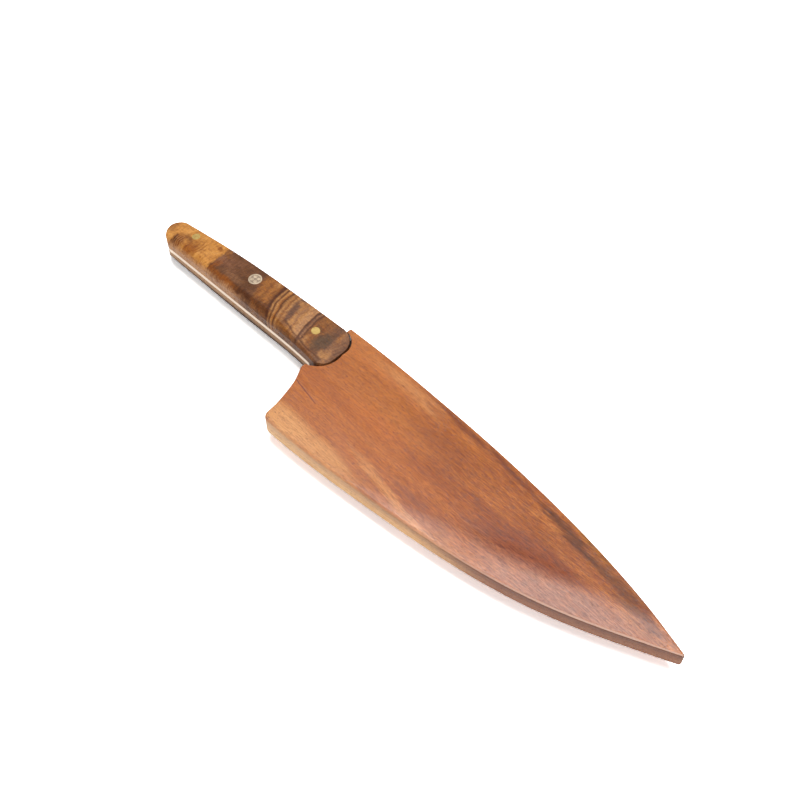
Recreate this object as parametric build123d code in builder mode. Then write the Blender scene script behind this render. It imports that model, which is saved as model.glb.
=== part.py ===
import os
from math import atan2, cos, radians, sin, tan
from build123d import *

os.makedirs("parts", exist_ok=True)

# A chef's knife lying on its side in a wooden blade guard, in millimetres.
# X runs from the butt of the handle to the tip of the guard, Y from the cutting
# edge to the spine, and Z up through the thickness of the blade. The origin is
# under the middle of the whole object, on the surface that the handle lies on.
# Outlines are drawn flat, with along = 0 at the mouth corner of the guard and
# across = 0 on the line of the handle's pins.

# Knife
blade_reach = 213.0          # mouth corner of the guard to the blade's tip
blade_height = 57.1          # spine to heel
blade_thickness = 2.3        # at the spine, and all along the tang
edge_thickness = 0.5         # where the grind meets the cutting edge at the heel
distal_taper = 0.5           # how much thinner each side of the grind is at the tip
spine_flat = 1.5             # the grind fades out this far under the spine
plunge_gap = 1.5             # the grind starts this far in front of the scales
spine_across = 11.0          # the spine over the pin line, at the mouth
choil_across = 13.4          # the tang under the pin line, at the mouth
heel_along = 13.0            # the heel corner, past the mouth corner
choil_radius = 7.0

# Handle
handle_length = 120.3        # butt to the mouth corner
handle_half = 9.8            # half thickness at the fullest place
nose_reach = 9.0             # the scales' rounded front reaches into the guard
nose_half = 6.0              # half thickness at that front
facet_length = 36.0          # the flat that slopes down to the front
facet_rise = 3.35            # how far that flat climbs over its length
belly_rounding = 5.0
spine_rounding = 1.8
rounding_overlap = 0.15      # the belly's rounding starts this far outside the wood
nose_spine_radius = 9.8
nose_belly_radius = 7.0

# Guard
spine_wall = 3.9             # wood beyond the blade's spine
edge_wall = 6.7              # wood beyond the cutting edge
tip_wall = 11.6              # wood beyond the blade's tip
guard_thickness = 10.4
slot_side_clearance = 0.2    # each side of the blade
slot_edge_clearance = 0.6    # round the blade's outline
socket_gap = 0.5             # in front of the scales' rounded front
socket_spine_gap = 0.8       # beside the spine of the handle
socket_belly_gap = 3.6       # beside the belly of the handle
mouth_land = 2.3             # flat of the mouth between the socket and the heel curve
heel_set_back = 8.7          # the heel curve falls this far back from the mouth
heel_radius = 4.5
tip_radius = 0.8             # of the outline's point
tip_nose = 3.0               # rounding that brings each face down to that point
mouth_radius = 0.9
bevel_angle = 3.2            # slope of the long facet beside the cutting edge, degrees
bevel_blend = 90.0           # radius that eases that facet into the flat
edge_break = 1.0

# Pins and magnets
brass_diameter = 4.5
mosaic_diameter = 7.2
mosaic_wall = 0.8
rod_diameter = 2.05
rod_circle = 3.3             # diameter of the circle that the four rods stand on
glue_line = 0.03
front_pin_back = 9.6         # front brass pin behind the mouth corner
rear_pin_inset = 18.1        # rear brass pin in front of the butt
mosaic_rise = 1.0            # the mosaic pin stands this much nearer the spine
magnet_diameter = 8.0
magnet_height = 2.0
magnet_recess = 0.3          # the disc sits this far under the wall of the slot
magnet_chamfer = 0.15
magnet_inset = 9.0           # disc centres below the blade's spine

cut_overrun = 4.0            # how far cuts run past what they cut
quarter_turn = 90            # degrees

# Worked out from the sizes above
guard_length = blade_reach + tip_wall
guard_height = spine_wall + blade_height + edge_wall
guard_spine = spine_across + spine_wall
guard_heel = guard_spine - guard_height
heel_across = spine_across - blade_height
handle_width = spine_across + choil_across
slot_half = blade_thickness / 2 + slot_side_clearance
face_thickness = guard_thickness / 2 - slot_half
socket_depth = nose_reach + socket_gap
socket_spine = spine_across + socket_spine_gap
socket_belly = choil_across + socket_belly_gap
land_end = -socket_belly - mouth_land

pin_spacing = (handle_length - front_pin_back - rear_pin_inset) / 2
mouth_x = (handle_length - guard_length) / 2
pin_line_y = guard_height / 2 - guard_spine
blade_centre = Vector(mouth_x, pin_line_y, handle_half)
blade_plane = Plane(origin=blade_centre)
side_plane = Plane(origin=blade_centre, x_dir=(1, 0, 0), z_dir=(0, -1, 0))

# Outline points are shares of a length from the mouth, and of a width below the spine
guard_back_shares = [(0.065, 0.0), (0.251, 0.020), (0.434, 0.057), (0.610, 0.118),
                     (0.783, 0.210), (0.9275, 0.3235)]
guard_tip_share = (1.0071, 0.400)
guard_belly_shares = [(0.9395, 0.496), (0.756, 0.730), (0.5485, 0.881), (0.305, 0.964), (0.07, 1.0)]
heel_curve_shares = [(0.955, 0.80), (0.77, 0.525), (0.417, 0.215), (0.0, 0.0)]
bevel_ridge_shares = [(0.276, 1.0), (0.90, 0.3575)]
blade_spine_shares = [(0.0, 0.0), (0.265, 0.021), (0.457, 0.067), (0.643, 0.138),
                      (0.826, 0.245), (1.0, 0.406)]
blade_edge_shares = [(1.0, 0.406), (0.895, 0.557), (0.798, 0.678), (0.692, 0.776),
                     (0.579, 0.856), (0.456, 0.918), (0.322, 0.958), (0.177, 0.988)]
socket_spine_bend = (0.73, 0.75)
socket_belly_bend = (0.81, 0.68)
handle_spine_shares = [(0.939, 0.275), (0.775, 0.200), (0.483, 0.102), (0.284, 0.066)]
butt_shares = [(0.913, 0.922), (0.971, 0.835), (1.0, 0.56), (0.981, 0.36), (0.939, 0.275)]
# Stations of the handle: share of its length, of its width, of its half thickness
handle_stations = [(1.03, 0.922, 0.80), (0.913, 0.922, 0.865), (0.75, 0.925, 0.937),
                   (0.57, 0.932, 0.985), (0.33, 0.938, 0.998), (0.17, 0.946, 0.965),
                   (0.0, 1.0, 0.86), (-0.10, 1.0, 0.79)]
magnet_along_shares = [0.16, 0.36, 0.56]
curve_steps = [0.0, 0.2, 0.4, 0.6, 0.8, 1.0]


def on_guard(share):
    return (share[0] * guard_length, guard_spine - share[1] * guard_height)


def on_blade(share):
    return (share[0] * blade_reach, spine_across - share[1] * blade_height)


def on_handle(share):
    return (-share[0] * handle_length, spine_across - share[1] * handle_width)


def beside(curve, gap):
    return [curve @ step + Vector(-(curve % step).Y, (curve % step).X) * gap for step in curve_steps]


# Guard outline, with its straight mouth and the curve that follows the knife's heel
with BuildSketch() as guard_outline:
    guard_tip = Vector(*on_guard(guard_tip_share))
    back_points = [Vector(*on_guard(share)) for share in guard_back_shares]
    belly_points = [Vector(*on_guard(share)) for share in guard_belly_shares]
    heel_corner = Vector(heel_set_back, guard_heel)
    mouth_corner = Vector(0, guard_spine)
    heel_points = [Vector(heel_set_back * share[0], land_end + (guard_heel - land_end) * share[1])
                   for share in heel_curve_shares]
    heel_drop = heel_points[0] - heel_corner
    with BuildLine():
        Polyline(heel_points[-1], mouth_corner, back_points[0])
        Spline(back_points, tangents=[(1, 0), guard_tip - back_points[-1]])
        Polyline(back_points[-1], guard_tip, belly_points[0])
        Spline(belly_points, tangents=[belly_points[0] - guard_tip, (-1, 0)])
        Polyline(belly_points[-1], heel_corner, heel_points[0])
        Spline(heel_points, tangents=[heel_drop, heel_points[-1] - heel_points[-2]])
    make_face()
    for corner, corner_radius in ((guard_tip, tip_radius), (heel_corner, heel_radius),
                                  (mouth_corner, mouth_radius)):
        fillet(guard_outline.vertices().sort_by_distance(corner)[0], radius=corner_radius)
tip_end = guard_outline.sketch.bounding_box().max.X

# Socket that the rounded front of the handle sits in, wider beside the belly
with BuildSketch() as socket_outline:
    with BuildLine():
        lip_top = Line((-cut_overrun, socket_spine), (0, socket_spine))
        lip_spine = ThreePointArc(
            lip_top @ 1, (socket_depth * socket_spine_bend[0], socket_spine * socket_spine_bend[1]),
            (socket_depth, 0))
        lip_belly = ThreePointArc(
            lip_spine @ 1, (socket_depth * socket_belly_bend[0], -socket_belly * socket_belly_bend[1]),
            (0, -socket_belly))
        lip_bottom = Line(lip_belly @ 1, (-cut_overrun, -socket_belly))
        Line(lip_bottom @ 1, lip_top @ 0)
    make_face()

# Blade outline in front of the mouth, with the choil and the heel
with BuildSketch() as blade_outline:
    choil_start = (heel_along - choil_radius, -choil_across)
    choil_end = (heel_along, -choil_across - choil_radius)
    with BuildLine():
        tang_end = Line((0, -choil_across), (0, spine_across))
        blade_back = Spline([on_blade(share) for share in blade_spine_shares])
        cutting_edge = Spline([on_blade(share) for share in blade_edge_shares]
                              + [(heel_along, heel_across)])
        Line(cutting_edge @ 1, choil_end)
        choil = RadiusArc(choil_end, choil_start, choil_radius)
        Line(choil @ 1, tang_end @ 0)
    make_face()

# Room for the blade, open at the mouth over the blade's whole height
with BuildSketch() as slot_outline:
    with BuildLine():
        slot_back = Spline(beside(blade_back, slot_edge_clearance))
        slot_edge = Spline(beside(cutting_edge, slot_edge_clearance))
        RadiusArc(slot_back @ 1, slot_edge @ 0, slot_edge_clearance)
        Polyline(slot_edge @ 1, (-cut_overrun, (slot_edge @ 1).Y),
                 (-cut_overrun, (slot_back @ 0).Y), slot_back @ 0)
    make_face()

# Handle outline, shared by the tang and both scales
with BuildSketch() as handle_outline:
    nose_spine_start = (nose_reach - nose_spine_radius, spine_across)
    nose_spine_end = (nose_reach, spine_across - nose_spine_radius)
    nose_belly_start = (nose_reach, nose_belly_radius - choil_across)
    nose_belly_end = (nose_reach - nose_belly_radius, -choil_across)
    belly_stations = handle_stations[1:-2]
    with BuildLine():
        Spline([on_handle(share) for share in handle_spine_shares] + [nose_spine_start])
        RadiusArc(nose_spine_start, nose_spine_end, nose_spine_radius)
        Line(nose_spine_end, nose_belly_start)
        RadiusArc(nose_belly_start, nose_belly_end, nose_belly_radius)
        Spline([nose_belly_end] + [on_handle(station) for station in reversed(belly_stations)])
        Spline([on_handle(share) for share in butt_shares])
    make_face()

# Guard faces: two boards with the socket cut through and a long bevel by the edge
ridge_start = on_guard(bevel_ridge_shares[0])
ridge_end = on_guard(bevel_ridge_shares[1])
ridge_turn = atan2(ridge_end[1] - ridge_start[1], ridge_end[0] - ridge_start[0])
bevel_tilt = radians(bevel_angle)
blend_reach = bevel_blend * tan(bevel_tilt / 2)
# Across the ridge: local X falls away towards the cutting edge, local Y is up
ridge_plane = Plane(
    origin=blade_centre + Vector(ridge_start[0], ridge_start[1], guard_thickness / 2),
    x_dir=(sin(ridge_turn), -cos(ridge_turn), 0),
    z_dir=(-cos(ridge_turn), -sin(ridge_turn), 0),
)
magnet_spots = [(share * guard_length, spine_across - magnet_inset) for share in magnet_along_shares]
pocket_depth = magnet_height + magnet_recess

with BuildPart() as guard_upper_face:
    with BuildSketch(blade_plane.offset(slot_half)):
        add(guard_outline.sketch)
    extrude(amount=face_thickness)
    with BuildSketch(ridge_plane.offset(-guard_length)):
        with BuildLine():
            blend = CenterArc((-blend_reach, -bevel_blend), bevel_blend, quarter_turn, -bevel_angle)
            Polyline(blend @ 1, (guard_height, -tan(bevel_tilt) * guard_height),
                     (guard_height, cut_overrun), (-blend_reach, cut_overrun), blend @ 0)
        make_face()
    extrude(amount=guard_length * 2, mode=Mode.SUBTRACT)
    outer_edges = guard_upper_face.edges().filter_by(
        lambda rim: rim.bounding_box().min.Z > blade_centre.Z + slot_half + face_thickness / 2)
    ridge_axis = Axis(origin=(0, 0, 0), direction=ridge_plane.z_dir)
    ridges = outer_edges.filter_by(GeomType.LINE).filter_by(ridge_axis)
    fillet(outer_edges - ridges, radius=edge_break)
    with BuildSketch(side_plane.offset(-guard_height)):
        with BuildLine():
            nose_arc = CenterArc((tip_end - tip_nose, guard_thickness / 2 - tip_nose),
                                 tip_nose, 0, quarter_turn)
            Polyline(nose_arc @ 1, ((nose_arc @ 1).X, guard_thickness),
                     (tip_end + cut_overrun, guard_thickness),
                     (tip_end + cut_overrun, (nose_arc @ 0).Y), nose_arc @ 0)
        make_face()
    extrude(amount=guard_height * 2, mode=Mode.SUBTRACT)
    with BuildSketch(blade_plane.offset(slot_half)):
        add(socket_outline.sketch)
    extrude(amount=face_thickness, mode=Mode.SUBTRACT)
    with BuildSketch(blade_plane.offset(slot_half)):
        with Locations(*magnet_spots):
            Circle(magnet_diameter / 2 + glue_line)
    extrude(amount=pocket_depth, mode=Mode.SUBTRACT)
guard_upper_face.part.label = "guard_upper_face"
export_step(guard_upper_face.part, "parts/guard_upper_face.step")

with BuildPart() as guard_lower_face:
    mirror(guard_upper_face.part, about=blade_plane)
guard_lower_face.part.label = "guard_lower_face"
export_step(guard_lower_face.part, "parts/guard_lower_face.step")

# Spacer strips as thick as the slot, glued between the faces and meeting at the tip
tip_line = on_blade(blade_spine_shares[-1])[1]
for strip_name, strip_align in (("guard_spine_strip", Align.MIN), ("guard_edge_strip", Align.MAX)):
    with BuildPart() as strip:
        with BuildSketch(blade_plane.offset(-slot_half)):
            add(guard_outline.sketch)
            add(slot_outline.sketch, mode=Mode.SUBTRACT)
            with Locations((-cut_overrun, tip_line)):
                Rectangle(guard_length + cut_overrun * 2, guard_height,
                          align=(Align.MIN, strip_align), mode=Mode.INTERSECT)
        extrude(amount=slot_half * 2)
    strip.part.label = strip_name
    export_step(strip.part, f"parts/{strip_name}.step")

# Disc magnets in the blind pockets, three in each face
for face_name, face_side in (("upper", 1), ("lower", -1)):
    for number, spot in enumerate(magnet_spots, start=1):
        with BuildPart() as magnet:
            with BuildSketch(blade_plane.offset(face_side * (slot_half + magnet_recess))):
                with Locations(spot):
                    Circle(magnet_diameter / 2)
            extrude(amount=face_side * magnet_height)
            chamfer(magnet.edges(), length=magnet_chamfer)
        magnet.part.label = f"{face_name}_magnet_{number}"
        export_step(magnet.part, f"parts/{face_name}_magnet_{number}.step")

# Cove that rounds the belly side of a scale, lofted through the handle's stations
with BuildPart() as belly_cove:
    for station in handle_stations:
        along, belly = on_handle(station)
        crown_height = station[2] * handle_half
        reach = belly_rounding + rounding_overlap
        arc_centre = (belly + belly_rounding, crown_height - belly_rounding)
        outside = belly - belly_rounding
        above = crown_height + belly_rounding
        station_place = blade_centre + Vector(along, 0, 0)
        with BuildSketch(Plane(origin=station_place, x_dir=(0, 1, 0), z_dir=(1, 0, 0))):
            with BuildLine():
                cove_arc = CenterArc(arc_centre, reach, quarter_turn, quarter_turn)
                Polyline(cove_arc @ 1, (outside, arc_centre[1]), (outside, above),
                         (arc_centre[0], above), cove_arc @ 0)
            make_face()
    loft()

# One scale before drilling: the handle outline swelled along its length, rounded
# over, then cut by the flat that slopes down to the front
facet_slope = facet_rise / facet_length
facet_front = (nose_reach + cut_overrun, nose_half - cut_overrun * facet_slope)
facet_back = (nose_reach - facet_length * 2, nose_half + facet_rise * 2)
with BuildPart() as scale_blank:
    with BuildSketch(blade_plane.offset(blade_thickness / 2)):
        add(handle_outline.sketch)
    extrude(amount=handle_half * 2)
    with BuildSketch(side_plane.offset(choil_across + cut_overrun)):
        with BuildLine():
            swell = Spline([(-station[0] * handle_length, station[2] * handle_half)
                            for station in handle_stations])
            Polyline(swell @ 1, ((swell @ 1).X, 0), ((swell @ 0).X, 0), swell @ 0)
        make_face()
    extrude(amount=-handle_width - cut_overrun * 2, mode=Mode.INTERSECT)
    fillet(scale_blank.faces().sort_by(Axis.Z)[-1].edges(), radius=spine_rounding)
    add(belly_cove.part, mode=Mode.SUBTRACT)
    with BuildSketch(side_plane.offset(choil_across + cut_overrun)):
        with BuildLine():
            Polyline(facet_front, facet_back, (facet_front[0], facet_back[1]), facet_front)
        make_face()
    extrude(amount=-handle_width - cut_overrun * 2, mode=Mode.SUBTRACT)

# The whole handle without holes, which trims the pins flush
with BuildPart() as handle_form:
    add(scale_blank.part)
    mirror(scale_blank.part, about=blade_plane)
    with BuildSketch(blade_plane.offset(-blade_thickness / 2)):
        add(handle_outline.sketch)
    extrude(amount=blade_thickness)

front_spot = (-front_pin_back, 0)
mosaic_spot = (-front_pin_back - pin_spacing, mosaic_rise)
rear_spot = (-front_pin_back - pin_spacing * 2, 0)

# Scales, drilled for the two brass pins and the mosaic pin between them
with BuildPart() as upper_scale:
    add(scale_blank.part)
    with BuildSketch(blade_plane):
        with Locations(front_spot, rear_spot):
            Circle(brass_diameter / 2 + glue_line)
        with Locations(mosaic_spot):
            Circle(mosaic_diameter / 2 + glue_line)
    extrude(amount=handle_half * 2, mode=Mode.SUBTRACT)
upper_scale.part.label = "upper_scale"
export_step(upper_scale.part, "parts/upper_scale.step")

with BuildPart() as lower_scale:
    mirror(upper_scale.part, about=blade_plane)
lower_scale.part.label = "lower_scale"
export_step(lower_scale.part, "parts/lower_scale.step")

# Blade and full tang in one piece: half of it is ground to a taper both towards the
# cutting edge and towards the tip, then mirrored
grind_rise = (blade_thickness - edge_thickness) / 2 / (blade_height - spine_flat)
grind_fall = distal_taper / blade_reach
grind_plane = Plane(
    origin=blade_centre + Vector(heel_along, heel_across, edge_thickness / 2),
    x_dir=(1, 0, -grind_fall),
    z_dir=(grind_fall, -grind_rise, 1),
)
with BuildPart() as knife_blade:
    with BuildSketch(blade_plane):
        add(handle_outline.sketch)
        add(blade_outline.sketch)
        with Locations(front_spot, rear_spot):
            Circle(brass_diameter / 2 + glue_line, mode=Mode.SUBTRACT)
        with Locations(mosaic_spot):
            Circle(mosaic_diameter / 2 + glue_line, mode=Mode.SUBTRACT)
    extrude(amount=blade_thickness / 2)
    with BuildSketch(grind_plane):
        with Locations((nose_reach + plunge_gap - heel_along, 0)):
            Rectangle(blade_reach, blade_height * 2, align=(Align.MIN, Align.CENTER))
    extrude(amount=blade_thickness, mode=Mode.SUBTRACT)
    mirror(about=blade_plane)
knife_blade.part.label = "knife_blade"
export_step(knife_blade.part, "parts/knife_blade.step")

# Pins through both scales and the tang, trimmed flush with the wood: two solid brass
# ones, and a brass tube with four rods set in dark filler
rod_spread = rod_circle / 2 * cos(radians(quarter_turn / 2))
rod_spots = [(mosaic_spot[0] + side * rod_spread, mosaic_spot[1] + end * rod_spread)
             for side, end in ((1, 1), (1, -1), (-1, -1), (-1, 1))]
tube_bore = mosaic_diameter / 2 - mosaic_wall
pins = [("front_pin", [front_spot], brass_diameter / 2, [], 0),
        ("rear_pin", [rear_spot], brass_diameter / 2, [], 0),
        ("mosaic_tube", [mosaic_spot], mosaic_diameter / 2, [mosaic_spot], tube_bore),
        ("mosaic_filler", [mosaic_spot], tube_bore - glue_line, rod_spots, rod_diameter / 2 + glue_line)]
pins += [(f"mosaic_rod_{number}", [spot], rod_diameter / 2, [], 0)
         for number, spot in enumerate(rod_spots, start=1)]

for pin_name, spots, radius, holes, hole_radius in pins:
    with BuildPart() as pin:
        with BuildSketch(blade_plane.offset(-handle_half - cut_overrun)):
            with Locations(*spots):
                Circle(radius)
            if holes:
                with Locations(*holes):
                    Circle(hole_radius, mode=Mode.SUBTRACT)
        extrude(amount=(handle_half + cut_overrun) * 2)
        add(handle_form.part, mode=Mode.INTERSECT)
    pin.part.label = pin_name
    export_step(pin.part, f"parts/{pin_name}.step")
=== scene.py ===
from math import cos, pi, radians, sin

import bpy
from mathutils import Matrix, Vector


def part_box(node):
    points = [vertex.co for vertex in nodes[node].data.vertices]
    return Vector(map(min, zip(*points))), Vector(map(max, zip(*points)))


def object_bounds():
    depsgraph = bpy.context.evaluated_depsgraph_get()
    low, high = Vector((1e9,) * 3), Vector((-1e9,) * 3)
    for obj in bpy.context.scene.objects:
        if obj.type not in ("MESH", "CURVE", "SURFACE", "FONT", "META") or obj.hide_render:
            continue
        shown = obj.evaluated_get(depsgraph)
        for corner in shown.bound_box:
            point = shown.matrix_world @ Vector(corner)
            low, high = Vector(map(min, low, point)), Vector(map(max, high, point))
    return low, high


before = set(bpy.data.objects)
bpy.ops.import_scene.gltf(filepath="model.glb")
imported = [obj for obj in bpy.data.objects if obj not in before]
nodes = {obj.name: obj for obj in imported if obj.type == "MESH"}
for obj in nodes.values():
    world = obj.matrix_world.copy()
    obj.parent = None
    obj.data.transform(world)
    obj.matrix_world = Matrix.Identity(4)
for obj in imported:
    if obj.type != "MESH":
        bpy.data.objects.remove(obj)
cadLow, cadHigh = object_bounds()
mm = 0.001
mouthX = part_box("guard_upper_face")[0].x
pinLow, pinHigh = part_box("front_pin")
# Patterns are drawn in millimetres from here: along the knife, across it, and up
drawnFrom = Vector((mouthX, (pinLow.y + pinHigh.y) / 2, cadHigh.z / 2))


# Helpers for shader trees
def newTree(name):
    material = bpy.data.materials.new(name)
    material.use_nodes = True
    tree = material.node_tree
    tree.nodes.clear()
    return material, tree


def addNode(tree, kind, settings=None, **values):
    # A value goes to the socket of its name, or named i0, i1 and so on to the one of that number
    node = tree.nodes.new(kind)
    for key, value in (settings or {}).items():
        setattr(node, key, value)
    for key, value in values.items():
        numbered = key[0] == "i" and key[1:].isdigit()
        socket = node.inputs[int(key[1:])] if numbered else node.inputs[key]
        if isinstance(value, bpy.types.NodeSocket):
            tree.links.new(value, socket)
        else:
            socket.default_value = value
    return node


def tone(red, green, blue):
    # From 0 to 255 as a picture shows it, to the linear values that a shader takes
    shares = [channel / 255 for channel in (red, green, blue)]
    return (*[s / 12.92 if s <= 0.04045 else ((s + 0.055) / 1.055) ** 2.4 for s in shares], 1)


def underGloss(red, green, blue, gloss):
    # Wood tones are written as they look. The white that the polish adds is taken off here.
    darkest = 0.003
    return (*[max(channel - gloss, darkest) for channel in tone(red, green, blue)[:3]], 1)


def oiled(red, green, blue):
    return underGloss(red, green, blue, gloss=0.040)


def waxed(red, green, blue):
    return underGloss(red, green, blue, gloss=0.015)


def drawn(tree):
    coordinates = addNode(tree, "ShaderNodeTexCoord")
    return addNode(tree, "ShaderNodeMapping", Vector=coordinates.outputs["Object"],
                   Location=-drawnFrom / mm, Scale=(1 / mm, 1 / mm, 1 / mm)).outputs[0]


def turned(tree, vector, turn):
    rotation = (0, 0, radians(turn))
    return addNode(tree, "ShaderNodeMapping", Vector=vector, Rotation=rotation).outputs[0]


def axesOf(tree, vector):
    return addNode(tree, "ShaderNodeSeparateXYZ", Vector=vector).outputs


def maths(tree, operation, first, second=0.0, third=0.0):
    values = {"i0": first, "i1": second, "i2": third}
    return addNode(tree, "ShaderNodeMath", {"operation": operation}, **values).outputs[0]


def times(tree, first, second):
    return maths(tree, "MULTIPLY", first, second)


def minus(tree, first, second):
    return maths(tree, "SUBTRACT", first, second)


def unsigned(tree, value):
    return maths(tree, "ABSOLUTE", value)


def straight(tree, value, low, high, start, end, kind="LINEAR"):
    values = {"i0": value, "i1": low, "i2": high, "i3": start, "i4": end}
    return addNode(tree, "ShaderNodeMapRange", {"interpolation_type": kind}, **values).outputs[0]


def smooth(tree, value, low, high, start=0.0, end=1.0):
    return straight(tree, value, low, high, start, end, "SMOOTHSTEP")


def between(tree, value, low, high, soft):
    rise = smooth(tree, value, low - soft, low + soft)
    fall = smooth(tree, value, high - soft, high + soft, 1.0, 0.0)
    return times(tree, rise, fall)


def swing(tree, value, amount):
    # From 0 to 1, to as much either way
    return times(tree, minus(tree, value, 0.5), amount * 2)


def nudged(tree, vector, along, across):
    offset = addNode(tree, "ShaderNodeCombineXYZ", X=along, Y=across).outputs[0]
    return addNode(tree, "ShaderNodeVectorMath", {"operation": "ADD"}, i0=vector, i1=offset).outputs[0]


def mixed(tree, factor, first, second, kind="MIX"):
    settings = {"data_type": "RGBA", "blend_type": kind}
    return addNode(tree, "ShaderNodeMix", settings, i0=factor, i6=first, i7=second).outputs[2]


def shaded(tree, factor, colour, shade):
    return mixed(tree, factor, colour, mixed(tree, 1.0, colour, shade, "MULTIPLY"))


def pattern(tree, vector, settings, name):
    # Noise, from 0 to 1, that a settings dictionary names
    stretch, turn, detail, rough = settings["patterns"][name]
    vector = turned(tree, vector, turn)
    vector = addNode(tree, "ShaderNodeMapping", Vector=vector, Scale=stretch).outputs[0]
    return addNode(tree, "ShaderNodeTexNoise", Vector=vector, Scale=1.0, Detail=detail,
                   Roughness=rough).outputs["Fac"]


def ranged(tree, value, settings, name):
    # A smooth change between two values that a settings dictionary names
    return smooth(tree, value, *settings["ranges"][name])


def ramp(tree, value, stops):
    node = addNode(tree, "ShaderNodeValToRGB", Fac=value)
    elements = node.color_ramp.elements
    while len(elements) < len(stops):
        elements.new(1.0)
    for element, (place, colour) in zip(elements, stops):
        element.position = place
        element.color = colour
    return node.outputs[0]


def patch(tree, vector, centre, half, turn, edge):
    # An oval that runs through the whole thickness of the wood
    throughAll = 1000
    node = addNode(tree, "ShaderNodeMapping", {"vector_type": "TEXTURE"}, Vector=vector,
                   Location=(*centre, 0), Rotation=(0, 0, radians(turn)), Scale=(*half, throughAll))
    settings = {"gradient_type": "SPHERICAL"}
    ball = addNode(tree, "ShaderNodeTexGradient", settings, Vector=node.outputs[0])
    return smooth(tree, ball.outputs["Fac"], 0.0, edge)


def painted(tree, vector, colour, settings):
    for centre, half, turn, edge, paint, strength in settings["patches"]:
        mask = times(tree, patch(tree, vector, centre, half, turn, edge), strength)
        colour = mixed(tree, mask, colour, settings["paints"][paint])
    return colour


def bumped(tree, height, bump):
    distance, strength = bump
    values = {"Height": height, "Distance": distance, "Strength": strength}
    return addNode(tree, "ShaderNodeBump", **values).outputs[0]


def finished(tree, colour, rough, normal, **values):
    values.update({"Base Color": colour, "Roughness": rough, "Normal": normal})
    shader = addNode(tree, "ShaderNodeBsdfPrincipled", **values)
    addNode(tree, "ShaderNodeOutputMaterial", Surface=shader.outputs[0])


# Stage: camera, floor, light
stageSettings = {
    "aim": drawnFrom + Vector((46.57, 2.557, 0)) * mm,  # the middle of the view
    "azimuth": 44.31,
    "elevation": 53.0,
    "distance": 560 * mm,
    "lens": 52.06,
    "clip": (0.01, 50.0),
    "floorSize": 2.2,
    "floorGap": 0.02 * mm,
    # over 1, so that the ground is white to the camera and only the deeper shadow shows
    "floorSeen": 2.55,
    "floorMirrored": 1.0,
    "floorBounce": 0.9,
    "room": 0.16,  # light that comes from all round
    "boxHeight": 1.2,
    "boxEdgeSlope": 0.406,  # how far back its far edge lies for each metre up
    "boxTurn": 6.0,
    "boxSize": (1.6, 0.46),
    "boxPower": 17.5,
    "fillFrom": (18.0, 28.0, 1.5),  # azimuth, elevation, distance
    "fillSize": (1.1, 0.5),
    "fillPower": 8.6,
}


def fromAim(azimuth, elevation, distance):
    turn, rise = radians(azimuth), radians(elevation)
    back = Vector((sin(turn) * cos(rise), -cos(turn) * cos(rise), sin(rise)))
    return stageSettings["aim"] + back * distance


def placed(name, data, place):
    item = bpy.data.objects.new(name, data)
    bpy.context.scene.collection.objects.link(item)
    item.location = place
    return item


def aimed(item):
    item.rotation_mode = "QUATERNION"
    item.rotation_quaternion = (stageSettings["aim"] - item.location).to_track_quat("-Z", "Y")


def addCamera():
    s = stageSettings
    data = bpy.data.cameras.new("camera")
    data.lens = s["lens"]
    data.clip_start, data.clip_end = s["clip"]
    camera = placed("camera", data, fromAim(s["azimuth"], s["elevation"], s["distance"]))
    aimed(camera)
    bpy.context.scene.camera = camera


def addSoftbox(name, size, power, place):
    data = bpy.data.lights.new(name, "AREA")
    data.shape = "RECTANGLE"
    data.size, data.size_y = size
    data.energy = power
    return placed(name, data, place)


def addLights():
    # A level softbox overhead, almost square to the knife. Its far edge runs just outside what
    # the flat faces mirror, so they stay deep in colour while the bevel shines.
    s = stageSettings
    turn = radians(s["boxTurn"])
    farEdge = Vector((0, s["boxHeight"] * s["boxEdgeSlope"], s["boxHeight"]))
    place = s["aim"] + farEdge + Vector((sin(turn), -cos(turn), 0)) * (s["boxSize"][1] / 2)
    addSoftbox("overhead", s["boxSize"], s["boxPower"], place).rotation_euler = (0, 0, turn)
    # A low one on the near side lights the walls of the guard and the belly of the handle
    aimed(addSoftbox("fill", s["fillSize"], s["fillPower"], fromAim(*s["fillFrom"])))


def mirroredRay(tree):
    # Metal and polished wood see the same white surroundings as the camera
    path = addNode(tree, "ShaderNodeLightPath")
    return maths(tree, "MAXIMUM", path.outputs["Is Glossy Ray"], path.outputs["Is Transmission Ray"])


def seenRay(tree):
    return addNode(tree, "ShaderNodeLightPath").outputs["Is Camera Ray"]


def floorWhite():
    material, tree = newTree("floorWhite")
    whites = [(stageSettings[key],) * 3 + (1,) for key in ("floorSeen", "floorMirrored", "floorBounce")]
    seen, mirrored, unseen = [addNode(tree, "ShaderNodeBsdfDiffuse", Color=white).outputs[0]
                              for white in whites]
    mix = addNode(tree, "ShaderNodeMixShader", Fac=mirroredRay(tree), i1=unseen, i2=mirrored)
    mix = addNode(tree, "ShaderNodeMixShader", Fac=seenRay(tree), i1=mix.outputs[0], i2=seen)
    addNode(tree, "ShaderNodeOutputMaterial", Surface=mix.outputs[0])
    return material


def addFloor():
    half = stageSettings["floorSize"] / 2
    corners = [(-half, -half, 0), (half, -half, 0), (half, half, 0), (-half, half, 0)]
    mesh = bpy.data.meshes.new("floor")
    mesh.from_pydata(corners, [], [(0, 1, 2, 3)])
    mesh.materials.append(floorWhite())
    placed("floor", mesh, (0, 0, cadLow.z - stageSettings["floorGap"]))


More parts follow.
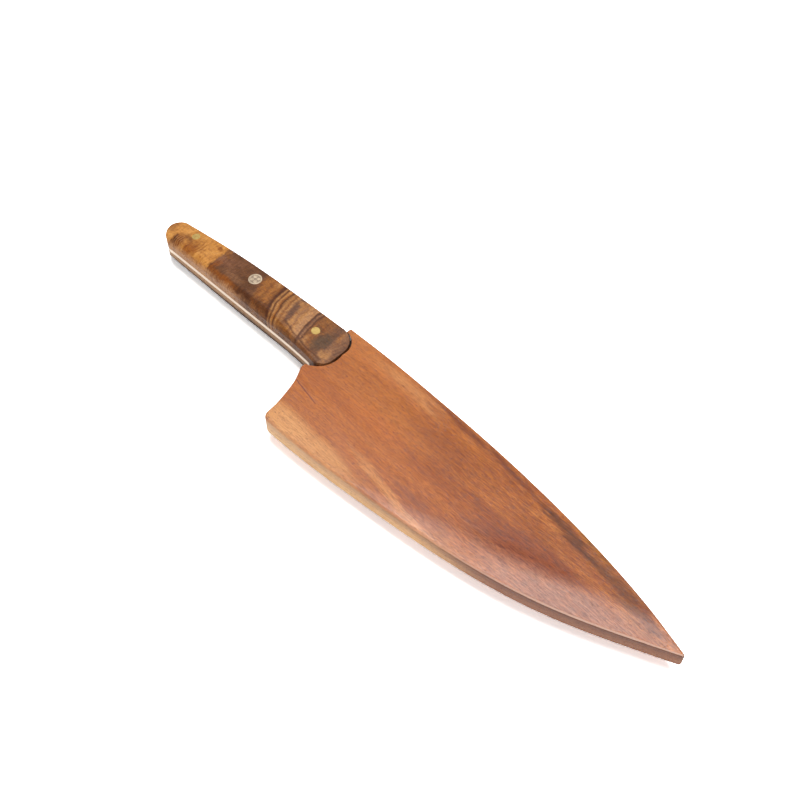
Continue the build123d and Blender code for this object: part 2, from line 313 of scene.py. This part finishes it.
def addRoom():
    world = bpy.data.worlds.new("studio")
    world.use_nodes = True
    tree = world.node_tree
    tree.nodes.clear()
    white = (1, 1, 1, 1)
    light = addNode(tree, "ShaderNodeBackground", Color=white, Strength=stageSettings["room"])
    seen = addNode(tree, "ShaderNodeBackground", Color=white, Strength=1.0)
    isSeen = maths(tree, "MAXIMUM", seenRay(tree), mirroredRay(tree))
    mix = addNode(tree, "ShaderNodeMixShader", Fac=isSeen, i1=light.outputs[0], i2=seen.outputs[0])
    addNode(tree, "ShaderNodeOutputWorld", Surface=mix.outputs[0])
    bpy.context.scene.world = world


# Guard wood: orange-brown boards with broad streaks, fine fibres and short dark pores
guardSettings = {
    "grainTurn": 2.0,
    # stretch along, across and up, turn, detail, roughness
    "patterns": {
        "wave": ((0.012, 0.03, 0.03), 0, 1, 0.5),
        "broad": ((0.012, 0.11, 0.11), 0, 3, 0.5),
        "frayAlong": ((0.04, 0.4, 0.4), 0, 3, 0.5),
        "frayAcross": ((0.03, 0.25, 0.25), 0, 3, 0.5),
        "streaks": ((0.03, 0.6, 0.6), 0, 3, 0.6),
        "fibres": ((0.22, 2.2, 2.2), 0, 3, 0.65),
        "figure": ((0.24, 1.7, 1.7), -3, 4, 0.72),
        "pores": ((0.55, 4.4, 4.4), 0, 1, 0.5),
        "plies": ((0.06, 0.9, 1.6), 0, 3, 0.65),
        "crack": ((0.5, 0.5, 0.5), 0, 2, 0.5),
    },
    "swings": {"wave": 3, "frayAlong": 14, "frayAcross": 2.4, "crack": 0.3},
    # two values, and what they become
    "ranges": {
        "redderAcross": (-4, -24, 0.0, 1.0),
        "grainAlong": (40, 140, 0.6, 1.0),
        "streaks": (0.44, 0.70, 0.0, 0.65),
        "fibres": (0.42, 0.64, 0.0, 1.0),
        "figureAlong": (40, 140, 0.18, 0.30),
        "figure": (0.30, 0.70, 0.0, 1.0),
        "pores": (0.60, 0.70, 0.0, 1.0),
        "wallFacing": (0.25, 0.85, 1.0, 0.0),
        "tipWallAlong": (95, 150, 0.0, 1.0),
        # painted light from the floor: more of the sides' pale tone low down
        "paintedWallLightUp": (-4.6, 4.0, 0.9, 0.5),
        "wallAcross": (6, -16, 0.3, 1.0),
        "plies": (0.40, 0.66, 0.0, 1.0),
        # painted shade under the rim: how high, then how strong along the knife
        "paintedRimShadeUp": (-2.0, 4.4, 0.0, 1.0),
        "paintedRimShadeAlong": (30, 150, 0.15, 1.0),
        # painted contact shadow at the foot of the sides
        "paintedFootShadowUp": (-4.6, -3.8, 0.95, 0.0),
        "rimAlong": (60, 190, 0.15, 0.6),
        "rimAcross": (-3, -10, 0.1, 1.0),
        "rough": (0.3, 0.7, 0.14, 0.22),
    },
    # place on the broad pattern, tone
    "tones": [(0.30, oiled(168, 102, 60)), (0.50, oiled(183, 114, 68)), (0.70, oiled(195, 126, 77))],
    "paints": {
        "cream": oiled(224, 170, 118), "honey": oiled(214, 153, 103), "copper": oiled(201, 127, 78),
        "amber": oiled(186, 120, 75), "russet": oiled(163, 99, 64), "plum": oiled(152, 92, 68),
        "rose": oiled(170, 114, 90), "ochre": oiled(166, 114, 58), "bark": oiled(137, 82, 46),
        "umber": oiled(108, 72, 44),
    },
    # centre, half size, turn, softness, paint, strength
    "patches": [
        ((20, -47), (28, 10.5), -4, 0.7, "cream", 0.95),
        ((48, -47), (30, 9), -4, 0.8, "cream", 0.85),
        ((64, -44), (27, 3.8), -10, 0.8, "amber", 0.85),
        ((20, -34.5), (31, 5.5), -3, 0.8, "amber", 0.8),
        ((80, -41), (46, 3.6), -11.3, 0.7, "honey", 0.85),
        ((100, -36), (26, 6.5), -4, 0.8, "russet", 0.8),
        ((108, -45), (30, 6), 6, 0.8, "honey", 0.55),
        ((50, 7), (31.2, 6.5), -4, 0.8, "honey", 0.55),
        ((86, -5), (39, 9.5), -5, 0.8, "russet", 0.8),
        ((38, 3.0), (46, 4), -4, 0.8, "copper", 0.55),
        ((50, -17), (30, 7), -3, 0.8, "copper", 0.6),
        ((94, -17), (28, 9), 2, 0.8, "russet", 0.75),
        ((148, -20), (46, 13), 9, 0.7, "plum", 0.95),
        ((178, -27), (44, 8), 17, 0.7, "rose", 0.85),
        ((160, -11), (50, 4.2), -7, 0.8, "amber", 0.8),
        ((142, 2.4), (14, 2.2), -10, 0.8, "umber", 0.95),
        ((162, -2.2), (24, 4.2), -14, 0.8, "umber", 0.9),
        ((186, -7.4), (28, 6), -16, 0.8, "umber", 0.72),
        ((164, 2.0), (20, 1.6), -15, 0.8, "ochre", 0.75),
        ((141, -9), (20, 10), -8, 0.8, "russet", 0.75),
        ((158, -6), (16, 5), -8, 0.8, "russet", 0.6),
        ((118, -15.5), (18, 5), -4, 0.8, "russet", 0.75),
        ((204, -10.5), (16, 5.2), -20, 0.8, "bark", 0.8),
        ((82, 8.9), (36, 2.6), -5, 0.8, "bark", 0.9),
        ((118, 6.6), (34, 2.4), -9, 0.8, "bark", 0.9),
        ((71, 5.8), (17, 3.4), -5, 0.8, "russet", 0.5),
        ((125, -28), (14, 4.6), 8, 0.8, "rose", 0.55),
        ((94, -43), (10, 2.6), -9, 0.8, "honey", 0.65),
        ((60, -48), (18, 3.4), 3, 0.8, "amber", 0.45),
    ],
    "shades": {
        "redder": tone(250, 238, 214), "streaks": tone(216, 194, 176), "fibres": tone(212, 188, 168),
        "pores": tone(168, 134, 112), "crack": tone(150, 92, 58), "plies": tone(234, 216, 198),
        # the second tone on the next line is painted shade for the sides under the rim
        "wallPores": tone(188, 158, 134), "paintedRimShade": tone(190, 174, 164),
        # a dark line of painted contact shadow at the foot of the sides
        "paintedFootShadow": tone(112, 84, 66),
    },
    "poreStrength": 0.95,
    # both ends, half width, softness of the ends
    "crack": ((4.5, -26.4), (22, -30.0), 0.24, 0.8),
    # the sides' tones: partly their own colour, partly painted light at the heel and painted shade at
    # the tip
    "heelWall": tone(255, 208, 146),
    "tipWall": tone(160, 108, 76),
    # how far up the broken edge faces, from, to and softness
    "rimFacing": (0.5, 0.955, 0.035),
    # a painted highlight along the broken edge
    "paintedRimHighlight": oiled(232, 198, 180),
    "fibreRelief": 0.35,
    "bump": (0.02 * mm, 0.6),
    "gloss": 0.42,
    # centre, half size, turn and softness of bands with less polish, and how much less
    "dryBands": [((146, -25.5), (38, 7.6), 17, 0.6, 0.15), ((122, -39.5), (22, 6.5), 9, 0.7, 0.10)],
}


def guardCrack(tree, place, axes):
    # A hairline crack runs in from the heel curve
    s = guardSettings
    (startAlong, startAcross), (endAlong, endAcross), half, soft = s["crack"]
    slope = (endAcross - startAcross) / (endAlong - startAlong)
    line = maths(tree, "MULTIPLY_ADD", axes[0], -slope, axes[1])
    wander = swing(tree, pattern(tree, place, s, "crack"), s["swings"]["crack"])
    line = maths(tree, "ADD", line, wander)
    away = unsigned(tree, minus(tree, line, startAcross - slope * startAlong))
    thin = smooth(tree, away, 0.0, half * 2, 1.0, 0.0)
    return times(tree, thin, between(tree, axes[0], startAlong, endAlong, soft))


def guardFaces(tree, waved, grain, axes):
    # Broad tones and patches of heartwood and sapwood, redder towards the cutting edge
    s = guardSettings
    colour = ramp(tree, pattern(tree, grain, s, "broad"), s["tones"])
    fray = [swing(tree, pattern(tree, grain, s, name), s["swings"][name])
            for name in ("frayAlong", "frayAcross")]
    colour = painted(tree, nudged(tree, waved, *fray), colour, s)
    return shaded(tree, ranged(tree, axes[1], s, "redderAcross"), colour, s["shades"]["redder"])


def guardGrain(tree, grain, axes, colour):
    # Streaks, fibres and figure grow stronger away from the heel
    s = guardSettings
    strong = ranged(tree, axes[0], s, "grainAlong")
    marks = {}
    for name in ("streaks", "fibres"):
        marks[name] = pattern(tree, grain, s, name)
        strength = times(tree, strong, ranged(tree, marks[name], s, name))
        colour = shaded(tree, strength, colour, s["shades"][name])
    figure = ranged(tree, pattern(tree, grain, s, "figure"), s, "figure")
    colour = mixed(tree, ranged(tree, axes[0], s, "figureAlong"), colour, figure, "OVERLAY")
    marks["pores"] = ranged(tree, pattern(tree, grain, s, "pores"), s, "pores")
    strength = times(tree, marks["pores"], s["poreStrength"])
    return shaded(tree, strength, colour, s["shades"]["pores"]), marks


def guardWalls(tree, grain, axes, facingUp, pores, colour):
    # The sides take a pale tone that is partly their own colour and partly painted light, most of it
    # low down where the floor would light them. Painted shade darkens them under the rim, and a line of
    # painted contact shadow darkens their foot.
    s = guardSettings
    shades = s["shades"]
    isWall = ranged(tree, facingUp, s, "wallFacing")
    # painted light and shade with the sides' own tone, from the heel to the tip
    wallToneAndLight = mixed(tree, ranged(tree, axes[0], s, "tipWallAlong"), s["heelWall"], s["tipWall"])
    strength = times(tree, ranged(tree, axes[2], s, "paintedWallLightUp"), ranged(tree, axes[1], s, "wallAcross"))
    colour = mixed(tree, times(tree, isWall, strength), colour, wallToneAndLight)
    plies = ranged(tree, pattern(tree, grain, s, "plies"), s, "plies")
    colour = shaded(tree, times(tree, isWall, plies), colour, shades["plies"])
    colour = shaded(tree, times(tree, isWall, pores), colour, shades["wallPores"])
    # painted shade on the sides just under the rim
    paintedRimShadeMask = times(tree, ranged(tree, axes[2], s, "paintedRimShadeUp"),
                     ranged(tree, axes[0], s, "paintedRimShadeAlong"))
    colour = shaded(tree, times(tree, isWall, paintedRimShadeMask), colour, shades["paintedRimShade"])
    # a line of painted contact shadow at the foot
    paintedFootShadow = ranged(tree, axes[2], s, "paintedFootShadowUp")
    return shaded(tree, times(tree, isWall, paintedFootShadow), colour, shades["paintedFootShadow"])


def guardRim(tree, axes, facingUp, colour):
    # A painted highlight makes the broken edge pale, most of all beside the cutting edge and at the tip
    s = guardSettings
    isRim = between(tree, facingUp, *s["rimFacing"])
    wearAndHighlight = times(tree, isRim, ranged(tree, axes[0], s, "rimAlong"))
    wearAndHighlight = times(tree, wearAndHighlight, ranged(tree, axes[1], s, "rimAcross"))
    # painted highlight on the broken edge
    return mixed(tree, wearAndHighlight, colour, s["paintedRimHighlight"])


def guardWood():
    s = guardSettings
    material, tree = newTree("guardWood")
    place = drawn(tree)
    axes = axesOf(tree, place)
    facing = axesOf(tree, addNode(tree, "ShaderNodeTexCoord").outputs["Normal"])
    facingUp = unsigned(tree, facing[2])
    wave = swing(tree, pattern(tree, place, s, "wave"), s["swings"]["wave"])
    waved = nudged(tree, place, 0.0, wave)
    grain = turned(tree, waved, s["grainTurn"])
    colour = guardFaces(tree, waved, grain, axes)
    colour, marks = guardGrain(tree, grain, axes, colour)
    crack = guardCrack(tree, place, axes)
    colour = shaded(tree, crack, colour, s["shades"]["crack"])
    colour = guardWalls(tree, grain, axes, facingUp, marks["pores"], colour)
    colour = guardRim(tree, axes, facingUp, colour)
    relief = minus(tree, times(tree, marks["fibres"], s["fibreRelief"]), marks["pores"])
    normal = bumped(tree, minus(tree, relief, crack), s["bump"])
    gloss = s["gloss"]
    for *band, loss in s["dryBands"]:
        gloss = maths(tree, "MULTIPLY_ADD", patch(tree, place, *band), -loss, gloss)
    rough = ranged(tree, marks["streaks"], s, "rough")
    finished(tree, colour, rough, normal, **{"Specular IOR Level": gloss})
    return material


# Handle wood: figured brown and gold, with curved stripes in its front third
scaleSettings = {
    # stretch along, across and up, turn, detail, roughness
    "patterns": {
        "wobble": ((0.16, 0.16, 0.16), 0, 2, 0.5),
        "drift": ((0.2, 0.2, 0.2), 0, 2, 0.5),
        "dark": ((0.07, 0.14, 0.14), 0, 3, 0.55),
        "gold": ((0.34, 0.10, 0.10), 12, 3, 0.55),
        "frayAlong": ((0.45, 0.45, 0.45), 0, 3, 0.6),
        "frayAcross": ((0.38, 0.38, 0.38), 0, 3, 0.6),
        "curl": ((1.1, 0.2, 0.2), 8, 2, 0.5),
        "mottle": ((0.3, 0.7, 0.7), 0, 3, 0.55),
        "pores": ((1.1, 4.4, 4.4), 4, 1, 0.5),
        "ripple": ((0.35, 1.9, 0.6), 6, 2, 0.6),
        "figure": ((1.0, 0.7, 0.7), 0, 4, 0.7),
    },
    "driftFrom": (155.0, 35.0),  # apart from the wobble, so that the two differ
    "swings": {"wobble": 1.1, "drift": 1.0, "frayAlong": 2.2, "frayAcross": 1.6},
    # two values, and what they become
    "ranges": {
        "arcWave": (0.1, 0.9, 0.0, 1.0),
        "bellyAcross": (-11.8, -9.8, 0.85, 0.0),
        "bellyAlong": (-62, -48, 1.0, 0.1),
        "curl": (0.38, 0.68, 0.0, 1.0),
        "curlInGold": (0.0, 1.0, 0.6, 0.4),
        "mottle": (0.44, 0.70, 0.0, 0.6),
        "pores": (0.64, 0.72, 0.0, 1.0),
        "ripple": (0.46, 0.68, 0.0, 0.55),
        # painted light from the floor on the lower scale's near side
        "paintedLowerLightUp": (-1.6, -0.6, 0.72, 0.0),
        "paintedLowerLightAcross": (-7, -10, 0.0, 1.0),
        # painted shade under the lower scale
        "paintedUnderShadeUp": (-2.4, -6.0, 0.0, 1.0),
        "figure": (0.32, 0.68, 0.0, 1.0),
        "rough": (0.3, 0.7, 0.24, 0.36),
    },
    # place on the pattern, tone
    "dark": [(0.3, waxed(98, 64, 42)), (0.5, waxed(117, 79, 55)), (0.72, waxed(136, 94, 70))],
    "gold": [(0.3, waxed(188, 128, 66)), (0.5, waxed(208, 146, 78)), (0.7, waxed(222, 164, 96))],
    # where the gold of the butt ends along the knife, and how softly
    "goldEnd": (-81.6, 0.9),
    "paints": {
        "umber": waxed(88, 54, 32), "smoke": waxed(90, 70, 54), "slate": waxed(109, 78, 61),
        "chestnut": waxed(124, 70, 36), "brown": waxed(137, 90, 52), "rust": waxed(149, 88, 43),
        "clay": waxed(148, 106, 76), "amber": waxed(159, 106, 60), "honey": waxed(174, 116, 58),
        "tan": waxed(180, 130, 83), "sand": waxed(178, 132, 94), "gold": waxed(206, 144, 78),
    },
    # distance along the knife at the spine side, paint
    "stripes": [
        (-54.0, "slate"), (-51.5, "brown"), (-48.5, "amber"), (-46.6, "brown"), (-44.4, "amber"),
        (-42.0, "brown"), (-40.4, "umber"), (-39.4, "umber"), (-38.3, "tan"), (-37.1, "umber"),
        (-36.1, "tan"), (-35.1, "amber"), (-34.1, "umber"), (-32.5, "tan"), (-31.0, "brown"),
        (-29.9, "tan"), (-28.4, "slate"), (-26.2, "slate"), (-24.5, "tan"), (-22.7, "clay"),
        (-21.3, "tan"), (-18.6, "sand"), (-17.0, "sand"), (-16.1, "umber"), (-15.4, "slate"),
        (-14.6, "clay"), (-13.7, "umber"), (-12.6, "brown"), (-8.0, "brown"), (0.0, "slate"),
        (3.0, "clay"), (8.0, "slate"),
    ],
    # from, to, softness
    "stripeZone": (-53.0, 12.0, 1.2),
    # place across where their bend starts, then two places along with the bend at each
    "stripeBend": (8.0, (-40.0, 0.016), (-12.0, 0.010)),
    # centre, half size, turn, softness, paint, strength
    "patches": [
        ((-112.5, -1.5), (7.8, 6.5), 0, 0.7, "gold", 0.8),
        ((-97, -4), (7, 9), 10, 0.8, "honey", 0.75),
        ((-98, -12.4), (12, 3.4), 3, 0.8, "amber", 0.7),
        ((-117.4, -3), (3.6, 8), 0, 0.8, "amber", 0.7),
        ((-103.5, -3.4), (5.9, 3.1), -20, 0.8, "brown", 0.85),
        ((-108, -8), (6, 6), 0, 0.6, "chestnut", 0.9),
        ((-110.2, -8.6), (2.1, 3.9), 10, 0.8, "umber", 0.9),
        ((-98, -8.2), (6.5, 5.4), 0, 0.7, "rust", 0.9),
        ((-86.5, -7), (5.0, 6.5), 0, 0.7, "gold", 0.8),
        ((-85.3, 2.6), (2.9, 1.7), -15, 0.7, "rust", 0.85),
        ((-78, 1.8), (3.9, 2.1), -8, 0.8, "brown", 0.7),
        ((-69, -9.8), (16.9, 2.4), -1, 0.8, "rust", 0.85),
        ((-79.2, -7), (2.6, 7.8), -10, 0.8, "rust", 0.7),
        ((-65, -5.5), (10.4, 3.4), 0, 0.9, "clay", 0.6),
        ((-53, -9.6), (10.4, 2.8), 0, 0.8, "umber", 0.9),
        ((-41, -9.4), (11.7, 4.9), -6, 0.8, "umber", 0.85),
        ((-20.5, -10.6), (10.4, 3.1), -12, 0.8, "honey", 0.85),
        ((-22.4, -5.6), (2.9, 3.6), 10, 0.7, "tan", 0.7),
        ((-9.6, -8.8), (2.6, 4.4), 10, 0.7, "tan", 0.85),
        # painted shade on the belly under the arc behind the guard
        ((-16, -12.4), (19, 3.0), 0, 0.7, "umber", 0.7),
        ((3.8, -7.6), (4.2, 4.7), -20, 0.7, "tan", 0.8),
        ((2.0, 5.6), (2.1, 5.2), 10, 0.8, "amber", 0.7),
        ((-2.6, -2.5), (5.5, 10.4), -6, 0.7, "smoke", 0.85),
        ((-7.6, 6.4), (3.1, 3.4), 0, 0.8, "brown", 0.45),
        ((-8.4, 2.6), (3.0, 3.2), 0, 0.8, "umber", 0.5),
        ((-44.2, 6.4), (2.8, 2.8), 10, 0.8, "tan", 0.8),
        ((-26.4, 6.2), (2.8, 2.8), 10, 0.8, "tan", 0.85),
        ((-89, -10.6), (4.4, 3.8), 0, 0.8, "honey", 0.6),
        ((-25.4, -8.8), (4.4, 3.2), -12, 0.8, "brown", 0.55),
        ((-80, 4.4), (2.6, 3.2), 0, 0.8, "amber", 0.7),
    ],
    # centre, half size, turn, softness, pitch, bend, paint, strength
    "arcs": [
        ((-107.4, -7.8), (5.0, 4.6), 0, 0.6, 1.45, 0.06, "tan", 0.8),
        ((-94.5, -4.0), (4.6, 6.5), 0, 0.6, 1.9, -0.05, "rust", 0.65),
    ],
    # painted shade along the place where the belly's rounding starts, and under it
    # lowest point, bend, half width, strength on and under it
    "paintedBellyShade": ((3.0, -10.6), 0.00467, 0.55, 0.75, 0.18),
    # from, to, softness
    "paintedBellyShadeZone": (-27.0, 5.0, 3.0),
    "bellyTone": waxed(198, 146, 102),
    # painted light from the floor on the lower scale's near side
    "paintedLowerLight": waxed(178, 138, 100),
    "rippleTone": tone(246, 226, 196),
    "shades": {
        "curl": tone(196, 176, 160), "mottle": tone(204, 186, 174), "pores": tone(150, 118, 96),
        # the last tone is painted shade under the lower scale
        "paintedUnderShade": tone(92, 70, 54),
    },
    "poreStrength": 0.7,
    "figureStrength": 0.13,
    "curlRelief": 0.3,
    "bump": (0.02 * mm, 0.6),
    "gloss": 0.18,
}


def scaleGround(tree, waved, frayedAxes):
    # Dark brown, with gold at the butt
    s = scaleSettings
    dark = ramp(tree, pattern(tree, waved, s, "dark"), s["dark"])
    gold = ramp(tree, pattern(tree, waved, s, "gold"), s["gold"])
    end, soft = s["goldEnd"]
    isGold = smooth(tree, frayedAxes[0], end - soft, end + soft, 1.0, 0.0)
    return mixed(tree, isGold, dark, gold), isGold


def scaleStripes(tree, axes):
    s = scaleSettings
    bendFrom, (farPlace, farBend), (nearPlace, nearBend) = s["stripeBend"]
    reach = minus(tree, bendFrom, axes[1])
    bend = straight(tree, axes[0], farPlace, nearPlace, farBend, nearBend)
    along = minus(tree, axes[0], times(tree, times(tree, reach, reach), bend))
    first, last = s["stripes"][0][0], s["stripes"][-1][0]
    stops = [((distance - first) / (last - first), s["paints"][paint])
             for distance, paint in s["stripes"]]
    stripes = ramp(tree, straight(tree, along, first, last, 0.0, 1.0), stops)
    return stripes, between(tree, along, *s["stripeZone"])


def scaleArcs(tree, axes, frayed, colour):
    # Small bent lines beside each other, in the gold of the butt
    s = scaleSettings
    for centre, half, turn, edge, pitch, bend, paint, strength in s["arcs"]:
        rise = minus(tree, axes[1], centre[1])
        along = minus(tree, axes[0], times(tree, times(tree, rise, rise), bend))
        wave = maths(tree, "SINE", times(tree, along, 2 * pi / pitch))
        mask = patch(tree, frayed, centre, half, turn, edge)
        mask = times(tree, ranged(tree, wave, s, "arcWave"), mask)
        colour = mixed(tree, times(tree, mask, strength), colour, s["paints"][paint])
    return colour


def scaleBelly(tree, axes, frayedAxes, colour):
    # The rounded belly is paler at the back. Behind the guard a thin line of painted shade bends along
    # the place where its rounding starts, with fainter painted shade under it.
    s = scaleSettings
    wearAndHighlight = times(tree, ranged(tree, frayedAxes[1], s, "bellyAcross"),
                 ranged(tree, frayedAxes[0], s, "bellyAlong"))
    colour = mixed(tree, wearAndHighlight, colour, s["bellyTone"])
    (lowestAlong, lowestAcross), bend, half, onStrength, underStrength = s["paintedBellyShade"]
    away = minus(tree, axes[0], lowestAlong)
    rise = times(tree, times(tree, away, away), bend)
    above = minus(tree, minus(tree, axes[1], lowestAcross), rise)
    onLine = smooth(tree, unsigned(tree, above), 0.0, half * 2, onStrength, 0.0)
    underLine = smooth(tree, above, 0.0, -half, 0.0, underStrength)
    line = times(tree, maths(tree, "MAXIMUM", onLine, underLine),
                 between(tree, axes[0], *s["paintedBellyShadeZone"]))
    return mixed(tree, line, colour, s["paints"]["umber"])


def scaleWood():
    s = scaleSettings
    shades = s["shades"]
    material, tree = newTree("scaleWood")
    place = drawn(tree)
    wobble = swing(tree, pattern(tree, place, s, "wobble"), s["swings"]["wobble"])
    drift = pattern(tree, nudged(tree, place, *s["driftFrom"]), s, "drift")
    waved = nudged(tree, place, wobble, swing(tree, drift, s["swings"]["drift"]))
    fray = [swing(tree, pattern(tree, place, s, name), s["swings"][name])
            for name in ("frayAlong", "frayAcross")]
    frayed = nudged(tree, waved, *fray)
    axes, frayedAxes = axesOf(tree, waved), axesOf(tree, frayed)
    colour, isGold = scaleGround(tree, waved, frayedAxes)
    stripes, inStripes = scaleStripes(tree, axes)
    colour = mixed(tree, inStripes, colour, stripes)
    colour = painted(tree, frayed, colour, s)
    colour = scaleArcs(tree, axes, frayed, colour)
    colour = scaleBelly(tree, axes, frayedAxes, colour)
    # Curl, mottle, pores and ripple
    curl = pattern(tree, waved, s, "curl")
    curled = times(tree, ranged(tree, curl, s, "curl"), ranged(tree, isGold, s, "curlInGold"))
    colour = shaded(tree, curled, colour, shades["curl"])
    mottle = pattern(tree, place, s, "mottle")
    colour = shaded(tree, ranged(tree, mottle, s, "mottle"), colour, shades["mottle"])
    pores = ranged(tree, pattern(tree, place, s, "pores"), s, "pores")
    colour = shaded(tree, times(tree, pores, s["poreStrength"]), colour, shades["pores"])
    ripple = ranged(tree, pattern(tree, waved, s, "ripple"), s, "ripple")
    rippled = mixed(tree, 1.0, colour, s["rippleTone"], "SOFT_LIGHT")
    colour = mixed(tree, times(tree, inStripes, ripple), colour, rippled)
    # Painted light from the floor makes the lower scale paler on its near side, and painted shade makes
    # it dark underneath
    lower = times(tree, ranged(tree, axes[2], s, "paintedLowerLightUp"), ranged(tree, axes[1], s, "paintedLowerLightAcross"))
    colour = mixed(tree, lower, colour, s["paintedLowerLight"])
    colour = shaded(tree, ranged(tree, axes[2], s, "paintedUnderShadeUp"), colour, shades["paintedUnderShade"])
    figure = ranged(tree, pattern(tree, waved, s, "figure"), s, "figure")
    colour = mixed(tree, s["figureStrength"], colour, figure, "OVERLAY")
    normal = bumped(tree, minus(tree, times(tree, curl, s["curlRelief"]), pores), s["bump"])
    rough = ranged(tree, mottle, s, "rough")
    finished(tree, colour, rough, normal, **{"Specular IOR Level": s["gloss"]})
    return material


# Steel: satin ground across the blade, with painted shade near the scales, where the blade lies deep in
# the guard's socket
steelSettings = {
    # stretch along, across and up, turn, detail, roughness
    "patterns": {
        "lines": ((6.0, 0.05, 0.4), 0, 3, 0.7),
        "cloud": ((0.03, 0.05, 0.05), 0, 3, 0.6),
    },
    # two values, and what they become
    "ranges": {
        "lines": (0.35, 0.65, 0.0, 1.0),
        "cloud": (0.45, 0.7, 0.0, 0.5),
        "rough": (0.3, 0.7, 0.26, 0.40),
    },
    "ground": tone(154, 153, 151),
    "shadow": tone(124, 122, 119),
    "cloudShade": tone(226, 220, 210),
    "tang": tone(236, 218, 198),
    # where the bare tang ends along the knife, and how softly
    "tangEnd": (-1.0, 0.5),
    # painted shade for the steel deep in the guard's socket
    "paintedSocketShade": tone(46, 32, 22),
    # full up to here, gone from here, and its strength
    "paintedSocketShadeFade": (12.0, 15.5, 0.94),
    "paintedSocketShadeSwing": 4,
    "bump": (0.012 * mm, 0.5),
    "gloss": 0.2,
}


def bladeSteel():
    s = steelSettings
    material, tree = newTree("bladeSteel")
    place = drawn(tree)
    axes = axesOf(tree, place)
    lines = pattern(tree, place, s, "lines")
    cloud = pattern(tree, place, s, "cloud")
    colour = mixed(tree, ranged(tree, lines, s, "lines"), s["ground"], s["shadow"])
    colour = shaded(tree, ranged(tree, cloud, s, "cloud"), colour, s["cloudShade"])
    full, gone, strength = s["paintedSocketShadeFade"]
    cloudy = maths(tree, "ADD", axes[0], swing(tree, cloud, s["paintedSocketShadeSwing"]))
    # painted shade where the blade lies deep in the guard's socket; there the steel is not metal
    paintedSocketShade = smooth(tree, cloudy, full, gone, strength, 0.0)
    colour = mixed(tree, paintedSocketShade, colour, s["paintedSocketShade"])
    end, soft = s["tangEnd"]
    bare = smooth(tree, axes[0], end - soft, end + soft, 1.0, 0.0)
    colour = mixed(tree, bare, colour, s["tang"])
    metal = maths(tree, "MAXIMUM", minus(tree, 1.0, paintedSocketShade), bare)
    normal = bumped(tree, lines, s["bump"])
    rough = ranged(tree, lines, s, "rough")
    finished(tree, colour, rough, normal, **{"Metallic": metal, "Specular IOR Level": s["gloss"]})
    return material


# Pins: sanded flush with the wood, so their faces carry fine crossing scratches
pinSettings = {
    # stretch along, across and up, turn, detail, roughness
    "patterns": {
        "scratch": ((0.7, 14.0, 2.0), 24, 2, 0.6),
        "crossing": ((0.9, 12.0, 2.0), -52, 2, 0.6),
        "tarnish": ((0.55, 0.55, 0.55), 0, 3, 0.6),
    },
    # two values, and what they become
    "ranges": {
        "tarnish": (0.35, 0.7, 0.0, 1.0),
        "wearAndHighlight": (0.55, 0.75, 0.0, 0.6),
    },
    "scratchShade": tone(208, 198, 186),
    "roughFrom": (0.4, 0.75),
    "bump": (0.01 * mm, 0.6),
    # bright tone, tarnished tone, roughness between the scratches and in them
    "brass": (tone(168, 145, 90), tone(150, 124, 74), 0.60, 0.70),
    "whiteMetal": (tone(174, 157, 136), tone(146, 131, 112), 0.50, 0.60),
    "nickel": (tone(206, 202, 194), tone(178, 174, 168), 0.20, 0.34),
}


def sandedMetal(name):
    s = pinSettings
    bright, dull, roughLow, roughHigh = s[name]
    material, tree = newTree(name)
    place = drawn(tree)
    scratches = [pattern(tree, place, s, layer) for layer in ("scratch", "crossing")]
    wearAndHighlight = maths(tree, "MAXIMUM", *scratches)
    tarnish = ranged(tree, pattern(tree, place, s, "tarnish"), s, "tarnish")
    colour = mixed(tree, tarnish, bright, dull)
    colour = shaded(tree, ranged(tree, wearAndHighlight, s, "wearAndHighlight"), colour, s["scratchShade"])
    normal = bumped(tree, wearAndHighlight, s["bump"])
    rough = smooth(tree, wearAndHighlight, *s["roughFrom"], roughLow, roughHigh)
    finished(tree, colour, rough, normal, Metallic=1.0)
    return material


# Filler between the mosaic rods: brown-grey resin with metal dust in it
fillerSettings = {
    # stretch along, across and up, turn, detail, roughness
    "patterns": {
        "specks": ((5.0, 5.0, 5.0), 0, 2, 0.6),
        "cloud": ((0.9, 0.9, 0.9), 0, 2, 0.5),
    },
    # two values, and what they become
    "ranges": {
        "specks": (0.52, 0.72, 0.0, 1.0),
        "cloud": (0.4, 0.7, 0.0, 0.6),
        "rough": (0.3, 0.7, 0.28, 0.4),
    },
    "resin": tone(140, 118, 98),
    "dust": tone(168, 146, 122),
    "cloudShade": tone(200, 190, 180),
    "bump": (0.01 * mm, 0.4),
    "gloss": 0.5,
}


def mosaicFiller():
    s = fillerSettings
    material, tree = newTree("mosaicFiller")
    place = drawn(tree)
    specks = pattern(tree, place, s, "specks")
    cloud = pattern(tree, place, s, "cloud")
    colour = mixed(tree, ranged(tree, specks, s, "specks"), s["resin"], s["dust"])
    colour = shaded(tree, ranged(tree, cloud, s, "cloud"), colour, s["cloudShade"])
    normal = bumped(tree, specks, s["bump"])
    rough = ranged(tree, specks, s, "rough")
    finished(tree, colour, rough, normal, **{"Specular IOR Level": s["gloss"]})
    return material


def dress(node, choices):
    # The longest part of a name that fits decides, so the filler isn't dressed as its rods
    fitting = [part for part in choices if part in node]
    mesh = nodes[node].data
    mesh.materials.clear()
    mesh.materials.append(choices[max(fitting, key=len)])


addCamera()
addFloor()
addRoom()
addLights()
print("stage done")

finishes = {
    "guard_": guardWood(),
    "_scale": scaleWood(),
    "knife_blade": bladeSteel(),
    "_pin": sandedMetal("brass"),
    "mosaic_": sandedMetal("whiteMetal"),
    "mosaic_filler": mosaicFiller(),
    "magnet": sandedMetal("nickel"),
}
for name in nodes:
    dress(name, finishes)
print("materials done")

bpy.context.scene.view_settings.view_transform = "Standard"
